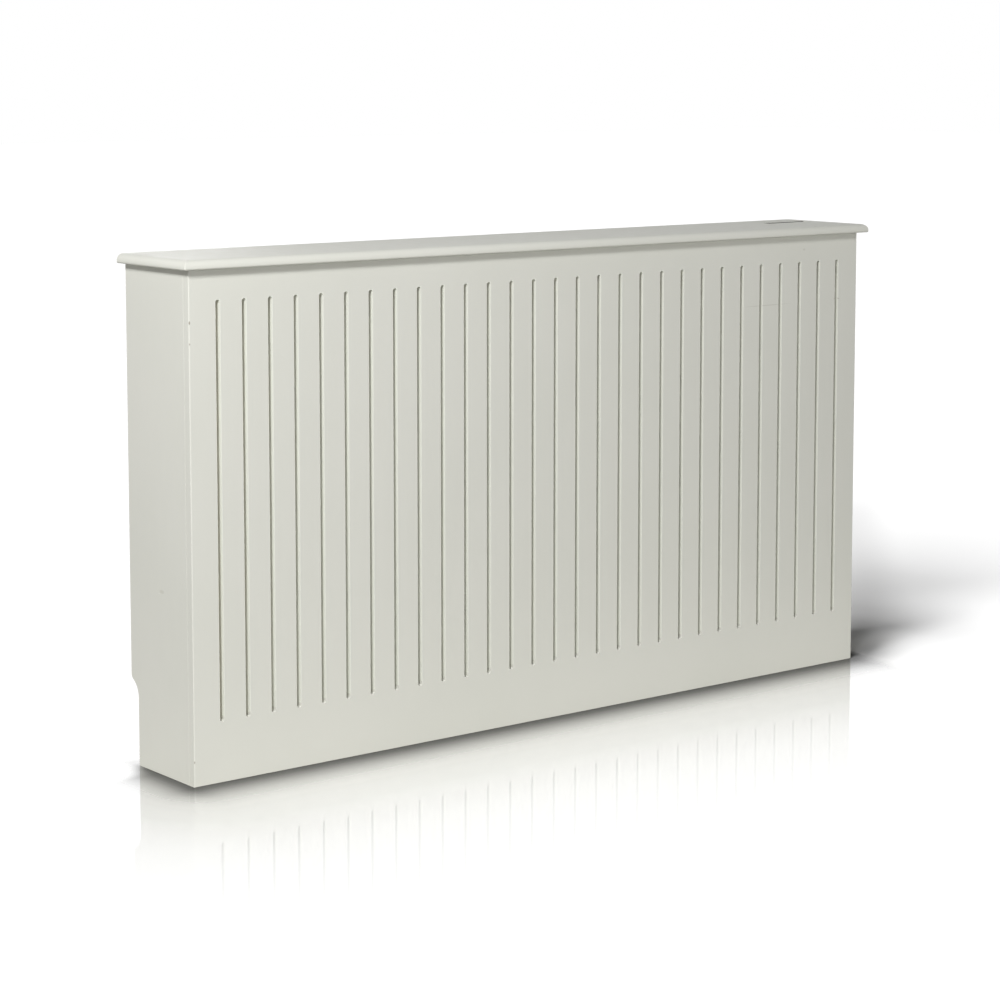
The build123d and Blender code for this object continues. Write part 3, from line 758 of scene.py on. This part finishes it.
def screwTree():
    tree, given, sink = newTree(
        "woodScrews", Geometry="points", Int="sides seed", Material="metal",
        Float="length head shank rim rimRound crossLength crossWidth crossDepth crossTaper tip")
    head = times(tree, given["head"], 0.5)
    shank = times(tree, given["shank"], 0.5)
    face = minus(tree, head, given["rimRound"])
    # a plus of five squares, its outline cut out of the head's face and its floor sunk
    cross = geometryOf(tree, "MeshGrid", {"Size X": 3.0, "Size Y": 3.0, "Vertices X": 4, "Vertices Y": 4})
    axes = splitOf(tree, geometryOf(tree, "InputPosition"))[:2]
    moved = []
    for axis in axes:
        far = isOver(tree, sizeOf(tree, axis), 1.0)
        arm = sumOf(tree, times(tree, far, given["crossLength"]),
                    times(tree, minus(tree, 1.0, far), given["crossWidth"]))
        moved.append(times(tree, mathOf(tree, "SIGN", axis), times(tree, arm, 0.5)))
    corner = times(tree, *(isOver(tree, sizeOf(tree, axis), 0.9) for axis in axes))
    cross = geometryOf(tree, "DeleteGeometry", {"Geometry": cross, "Selection": corner}, domain="FACE")
    cross = geometryOf(tree, "SetPosition", {"Geometry": cross, "Position": vectorOf(tree, *moved)})
    neighbours = geometryOf(tree, "InputMeshEdgeNeighbors")
    outline = geometryOf(tree, "MeshToCurve", {"Mesh": cross, "Selection": isUnder(tree, neighbours, 1.5)})
    circle = geometryOf(tree, "CurvePrimitiveCircle", {"Resolution": given["sides"], "Radius": face})
    cap = geometryOf(tree, "FillCurve", {"Curve": joined(tree, circle, outline)})
    sunk = addNode(tree, "GeometryNodeExtrudeMesh", {
        "Mesh": cross, "Offset Scale": times(tree, given["crossDepth"], -1.0), "Individual": False})
    pocket = geometryOf(tree, "ScaleElements", {
        "Geometry": sunk.outputs[0], "Selection": sunk.outputs["Top"], "Scale": given["crossTaper"]})
    # head, shank and tip, ring by ring
    parts = [cap, pocket]
    underHead = sumOf(tree, given["rim"], minus(tree, head, shank))
    shankEnd = minus(tree, given["length"], given["tip"])
    for upper, lower, start, end in (
            (face, head, 0.0, given["rimRound"]),
            (head, head, given["rimRound"], given["rim"]),
            (head, shank, given["rim"], underHead),
            (shank, shank, underHead, shankEnd),
            (shank, 0.0, shankEnd, given["length"])):
        ring = geometryOf(tree, "MeshCone", {
            "Vertices": given["sides"], "Radius Top": upper, "Radius Bottom": lower,
            "Depth": minus(tree, end, start)}, fill_type="NONE")
        down = vectorOf(tree, 0.0, 0.0, times(tree, end, -1.0))
        parts.append(geometryOf(tree, "Transform", {"Geometry": ring, "Translation": down}))
    screw = geometryOf(tree, "MergeByDistance", {"Geometry": joined(tree, *parts),
                                                 "Distance": screwSetup["weld"]})
    screw = geometryOf(tree, "SetShadeSmooth", {"Geometry": screw, "Shade Smooth": True})
    crisp = isOver(tree, geometryOf(tree, "InputMeshEdgeAngle"), math.radians(screwSetup["crispFrom"]))
    screw = geometryOf(tree, "SetShadeSmooth", {"Geometry": screw, "Selection": crisp,
                                                "Shade Smooth": False}, domain="EDGE")
    aim = geometryOf(tree, "InputNamedAttribute", {"Name": "aim"}, data_type="FLOAT_VECTOR")
    upright = addNode(tree, "FunctionNodeAlignRotationToVector", {"Vector": aim}, axis="Z").outputs[0]
    group = geometryOf(tree, "InstanceOnPoints", {"Points": given["points"], "Instance": screw,
                                                  "Rotation": upright})
    twist = addNode(tree, "FunctionNodeRandomValue", {"Min": 0.0, "Max": math.pi / 2, "Seed": given["seed"]},
                    data_type="FLOAT")
    twist = next(socket for socket in twist.outputs if socket.enabled)
    group = geometryOf(tree, "RotateInstances", {
        "Instances": group, "Rotation": vectorOf(tree, 0.0, 0.0, twist), "Local Space": True})
    group = geometryOf(tree, "RealizeInstances", {"Geometry": group})
    group = geometryOf(tree, "SetMaterial", {"Geometry": group, "Material": given["metal"]})
    tree.links.new(group, sink)
    return tree


def screwPlaces(nodeName):
    # one point at each packed screw's head, with the way that it faces and its length
    work = bmesh.new()
    work.from_mesh(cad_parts[nodeName].data)
    bmesh.ops.remove_doubles(work, verts=work.verts, dist=screwSetup["weld"])
    waiting = set(work.verts)
    points, aims, length = [], [], 0.0
    while waiting:
        stack, island = [waiting.pop()], []
        while stack:
            vert = stack.pop()
            island.append(vert.co.copy())
            for edge in vert.link_edges:
                other = edge.other_vert(vert)
                if other in waiting:
                    waiting.remove(other)
                    stack.append(other)
        spans = [(min(co[axis] for co in island), max(co[axis] for co in island)) for axis in range(3)]
        axis = max(range(3), key=lambda index: spans[index][1] - spans[index][0])
        others = [index for index in range(3) if index != axis]
        centre = Vector([(first + last) / 2 for first, last in spans])
        ends = []
        for end in spans[axis]:
            ring = [co for co in island if abs(co[axis] - end) < screwSetup["ringNear"]]
            ends.append(max((math.hypot(*(co[other] - centre[other] for other in others)) for co in ring),
                            default=0.0))
        side = 1 if ends[1] > ends[0] else 0
        centre[axis] = spans[axis][side]
        points.append(centre)
        aims.append([0.0] * 3)
        aims[-1][axis] = 1.0 if side else -1.0
        length = spans[axis][1] - spans[axis][0]
    work.free()
    order = sorted(range(len(points)), key=lambda index: tuple(round(value, 5) for value in points[index]))
    mesh = bpy.data.meshes.new(nodeName + "Places")
    mesh.from_pydata([points[index] for index in order], [], [])
    store = mesh.attributes.new("aim", "FLOAT_VECTOR", "POINT")
    for slot, index in enumerate(order):
        store.data[slot].vector = aims[index]
    return mesh, length


woodScrews = screwTree()
screwGroups = {
    # node: (piece, head across, shank across)
    "corner_batten_screws": ("cornerBattenScrews", 0.008, 0.004),
    "front_batten_screws": ("frontBattenScrews", 0.008, 0.004),
    "side_batten_screws": ("sideBattenScrews", 0.008, 0.004),
    "top_board_screws": ("topBoardScrews", 0.008, 0.004),
    "cleat_screws": ("cleatScrews", 0.008, 0.004),
    "hanger_screws": ("hangerScrews", 0.0066, 0.0035),
}
for seed, (nodeName, (pieceName, head, shank)) in enumerate(screwGroups.items()):
    places, length = screwPlaces(nodeName)
    screws = grown(pieceName, woodScrews, {
        **screwSetup, "length": length, "head": head, "shank": shank, "seed": seed, "metal": yellowZinc},
        start=places)
    settled(screws, "cabinet", "screw_steel", nodeName)
    print(pieceName, len(places.vertices), "screws,", len(screws.data.polygons), "faces")


# floor, lights and camera

floorSetup = {
    "halfSize": 30.0,
    "colour": (0.92, 0.92, 0.92),
    "bounce": (0.112, 0.109, 0.1),  # what the cover gets back from the floor, and from near its foot
    "footBounce": (0.39, 0.382, 0.356),
    "footReach": (0.25, 0.65),
    "mirrorRoughness": 0.02,
    "reach": 0.95,
    # distance from the cover's foot, and how much of the floor's polish and of its colour is left there; the
    # colour that is left makes a painted contact shadow
    "polish": ((0.0, 0.85), (0.14, 0.67), (0.21, 0.6), (0.25, 0.52), (0.3, 0.45), (0.36, 0.36), (0.43, 0.29),
               (0.51, 0.23), (0.6, 0.17), (0.75, 0.08), (0.95, 0.0)),
    "paintedShade": ((0.0, 0.17), (0.015, 0.22), (0.026, 0.31), (0.042, 0.47), (0.064, 0.69), (0.094, 0.91),
                (0.13, 1.0), (0.95, 1.0)),
    "polishSlant": (-0.01, 0.02),  # the polish ends at the slanted line and past the right end
    "polishPast": (0.0, 0.05),
    # the painted shade in the floor's colour: how wide it runs round the foot and beyond the right end
    "rightGrowth": 0.1,  # the shade in front is that much wider at the right end
    "leftNarrowing": (1.27, 6.5),  # beside the left end: at the front corner and at the wall
    "leftSpan": (0.015, 0.125),  # from where to where it narrows, front to back
    "leftFade": (0.02, 0.06),  # the shade beside the left end stops short of this
    "leftStart": (-0.02, 0.06),
    "leftLast": 0.15,  # what is left of it at the wall
    "behindNarrowing": 5.0,
    "wedgeTurn": 30.0,  # the shade beyond the right end goes back at this angle
    "wedgeFade": (0.04, 0.27),
    "cornerSlant": (-0.04, 0.03),  # the corner it starts from, across and along that line
    "cornerAlong": (0.03, 0.09),
    "castShade": 0.15,  # a broad faint painted shade on top of the suns' cast shadow, back from the right end
    "castClear": 0.04,
    "castWidth": 0.17,
    "castStart": (0.36, 0.5),
    "castEnd": (1.0, 1.5),
}


def seenRay(tree):
    # camera, glossy and transmission rays see the white of the studio
    path = addNode(tree, "ShaderNodeLightPath").outputs
    seen = mathOf(tree, "MAXIMUM", path["Is Camera Ray"], path["Is Glossy Ray"])
    return mathOf(tree, "MAXIMUM", seen, path["Is Transmission Ray"])


def lengthOf(tree, *parts):
    total = 0.0
    for part in parts:
        total = mathOf(tree, "MULTIPLY_ADD", part, part, total)
    return mathOf(tree, "SQRT", total)


def studioFloor():
    setup = floorSetup
    mesh = bpy.data.meshes.new("studioFloor")
    half = setup["halfSize"]
    mesh.from_pydata([(-half, -half, 0), (half, -half, 0), (half, half, 0), (-half, half, 0)], [],
                     [(0, 1, 2, 3)])
    floor = linkedMesh(mesh, "studioFloor")
    material, tree, shader, place = newMaterial("floorWhite")
    x, y, z = splitOf(tree, place)
    pastEnd = minus(tree, x, sideOuter)
    pastFront = minus(tree, frontFace, y)
    left, right, ahead, behind = (mathOf(tree, "MAXIMUM", distance, 0.0) for distance in (
        minus(tree, -sideOuter, x), pastEnd, pastFront, minus(tree, y, wallFace)))
    around = lengthOf(tree, left, right, ahead, behind)
    # distance from the foot for the painted shade, narrowed where the shade is narrow; past the right end it is
    # taken from a line that goes back from the front corner
    leftReach = times(tree, left, spread(tree, y, *setup["leftStart"]))
    leftFade = times(tree, spread(tree, leftReach, *setup["leftFade"], 1.0, 0.0),
                     spread(tree, y, wallFace / 2, wallFace, 1.0, setup["leftLast"]))
    left = times(tree, left, spread(tree, y, *setup["leftSpan"], *setup["leftNarrowing"]))
    behind = times(tree, behind, setup["behindNarrowing"])
    turn = math.radians(setup["wedgeTurn"])
    slant = mathOf(tree, "MULTIPLY_ADD", pastEnd, math.tan(turn), pastFront)
    along = minus(tree, times(tree, pastEnd, math.cos(turn)), times(tree, pastFront, math.sin(turn)))
    beside = isOver(tree, pastEnd, 0.0)
    wedge = times(tree, beside, mathOf(tree, "MAXIMUM", slant, 0.0))
    direct = times(tree, lengthOf(tree, left, ahead, behind), minus(tree, 1.0, beside))
    growth = spread(tree, x, -sideOuter, sideOuter, 1.0, 1.0 + setup["rightGrowth"], smooth=False)
    away = mathOf(tree, "DIVIDE", sumOf(tree, direct, wedge), growth)
    away = mathOf(tree, "DIVIDE", away, setup["reach"])
    polish, paintedShade = (rampOf(tree, away, [(stop / setup["reach"], (value,) * 3) for stop, value in setup[name]],
                              "B_SPLINE") for name in ("polish", "paintedShade"))
    atCorner = mathOf(tree, "MAXIMUM", spread(tree, slant, *setup["cornerSlant"]),
                      spread(tree, along, *setup["cornerAlong"], 1.0, 0.0))
    fade = times(tree, spread(tree, along, *setup["wedgeFade"], 1.0, 0.0), atCorner)
    fade = spread(tree, beside, 0.0, 1.0, leftFade, fade, smooth=False)
    paintedShade = minus(tree, 1.0, times(tree, fade, minus(tree, 1.0, paintedShade)))
    beyond = minus(tree, sumOf(tree, pastEnd, pastFront), setup["castClear"])
    paintedCast = times(tree, spread(tree, beyond, 0.0, setup["castWidth"], setup["castShade"], 0.0),
                 spread(tree, along, *setup["castStart"]), spread(tree, y, *setup["castEnd"], 1.0, 0.0))
    paintedShade = times(tree, paintedShade, minus(tree, 1.0, paintedCast))
    ray = seenRay(tree)
    edge = spread(tree, beside, 0.0, 1.0, 1.0, spread(tree, slant, *setup["polishSlant"]), smooth=False)
    edge = times(tree, edge, spread(tree, pastEnd, *setup["polishPast"], 1.0, 0.0))
    share = times(tree, polish, ray, edge)
    # painted shadow: the floor's colour is darkened near the foot and beside the right end
    seen = mixOf(tree, paintedShade, (0.0, 0.0, 0.0), setup["colour"])
    bounce = mixOf(tree, spread(tree, around, *setup["footReach"]), setup["footBounce"], setup["bounce"])
    tree.nodes.remove(shader)
    white = addNode(tree, "ShaderNodeBsdfDiffuse", {"Color": mixOf(tree, ray, bounce, seen)})
    # the reflection is darkened by the same painted shadow
    mirror = addNode(tree, "ShaderNodeBsdfGlossy", {"Color": paintedShade, "Roughness": setup["mirrorRoughness"]})
    mixed = addNode(tree, "ShaderNodeMixShader", {0: share, 1: white.outputs[0], 2: mirror.outputs[0]})
    output = next(node for node in tree.nodes if node.type == "OUTPUT_MATERIAL")
    tree.links.new(mixed.outputs[0], output.inputs["Surface"])
    mesh.materials.append(material)
    return floor


worldSetup = {
    "colour": (1, 1, 1, 1),
    "light": 0.09,  # what the cover gets from it
    "seen": 1.0,
}


def studioWorld():
    world = bpy.data.worlds.new("studioWorld")
    bpy.context.scene.world = world
    world.use_nodes = True
    tree = world.node_tree
    shader = next(node for node in tree.nodes if node.type == "BACKGROUND")
    shader.inputs["Color"].default_value = worldSetup["colour"]
    strength = spread(tree, seenRay(tree), 0.0, 1.0, worldSetup["light"], worldSetup["seen"], smooth=False)
    tree.links.new(strength, shader.inputs["Strength"])


lampSetup = {
    # name: (turn left of straight on, height angle, distance, aims at, width, height, power)
    "keyBox": (50.0, 30.0, 3.1, (-0.75, -0.09, 0.83), 0.62, 0.62, 108.5),
    "frontFill": (-8.0, 10.0, 5.0, (0.0, -0.09, 0.4), 2.2, 1.4, 70.5),
    "frontHigh": (-8.0, 40.0, 5.0, (0.0, -0.09, 0.4), 2.2, 1.4, 10.6),
    "leftFill": (95.0, 14.0, 3.0, (-0.75, 0.0, 0.45), 1.6, 1.4, 10.0),
    "rightFill": (-105.0, 12.0, 3.0, (0.75, 0.0, 0.45), 1.6, 1.4, 26.0),
    "backFill": (180.0, 12.0, 3.0, (0.0, 0.1, 0.4), 2.6, 1.4, 40.0),
}
floorSuns = {
    # name: (turn left of straight on, height angle, softness, power), for the shadow on the floor alone
    "lowSun": (65.0, 34.0, 27.0, 3.4),
    "highSun": (81.0, 64.0, 17.0, 1.72),
}
sunDistance = 6.0


def placed(data, turn, height, distance, target):
    turn, height = math.radians(turn), math.radians(height)
    toLamp = Vector((-math.sin(turn) * math.cos(height), -math.cos(turn) * math.cos(height), math.sin(height)))
    lamp = bpy.data.objects.new(data.name, data)
    lamp.location = Vector(target) + toLamp * distance
    lamp.rotation_euler = (-toLamp).to_track_quat("-Z", "Y").to_euler()
    bpy.context.scene.collection.objects.link(lamp)
    return lamp


def linkedTo(lamp, floor, state):
    group = bpy.data.collections.new(lamp.name + "Group")
    group.objects.link(floor)
    lamp.light_linking.receiver_collection = group
    group.collection_objects[0].light_linking.link_state = state


def studioLamps(floor):
    for name, (turn, height, distance, target, wide, high, power) in lampSetup.items():
        data = bpy.data.lights.new(name, "AREA")
        data.shape = "RECTANGLE"
        data.size, data.size_y = wide, high
        data.energy = power
        linkedTo(placed(data, turn, height, distance, target), floor, "EXCLUDE")
    for name, (turn, height, softness, power) in floorSuns.items():
        data = bpy.data.lights.new(name, "SUN")
        data.angle = math.radians(softness)
        data.energy = power
        linkedTo(placed(data, turn, height, sunDistance, (0.0, 0.0, 0.0)), floor, "INCLUDE")


cameraSetup = {
    "place": (-2.9393, -3.6498, 1.1587),
    "yaw": 38.325,  # from straight at the wall, towards the right end
    "dip": 6.204,
    "lens": 95.28,
    "sensor": 36.0,
    "rise": -0.15,  # lens shift
    "near": 0.05,
    "far": 100.0,
}


def photoCamera():
    data = bpy.data.cameras.new("photoCamera")
    data.sensor_width = cameraSetup["sensor"]
    data.lens = cameraSetup["lens"]
    data.shift_y = cameraSetup["rise"]
    data.clip_start, data.clip_end = cameraSetup["near"], cameraSetup["far"]
    camera = bpy.data.objects.new("photoCamera", data)
    camera.location = cameraSetup["place"]
    camera.rotation_euler = (math.radians(90.0 - cameraSetup["dip"]), 0.0, -math.radians(cameraSetup["yaw"]))
    bpy.context.scene.collection.objects.link(camera)
    bpy.context.scene.camera = camera


studioLamps(studioFloor())
studioWorld()
photoCamera()
bpy.context.scene.view_settings.view_transform = "Standard"
print("studio set")
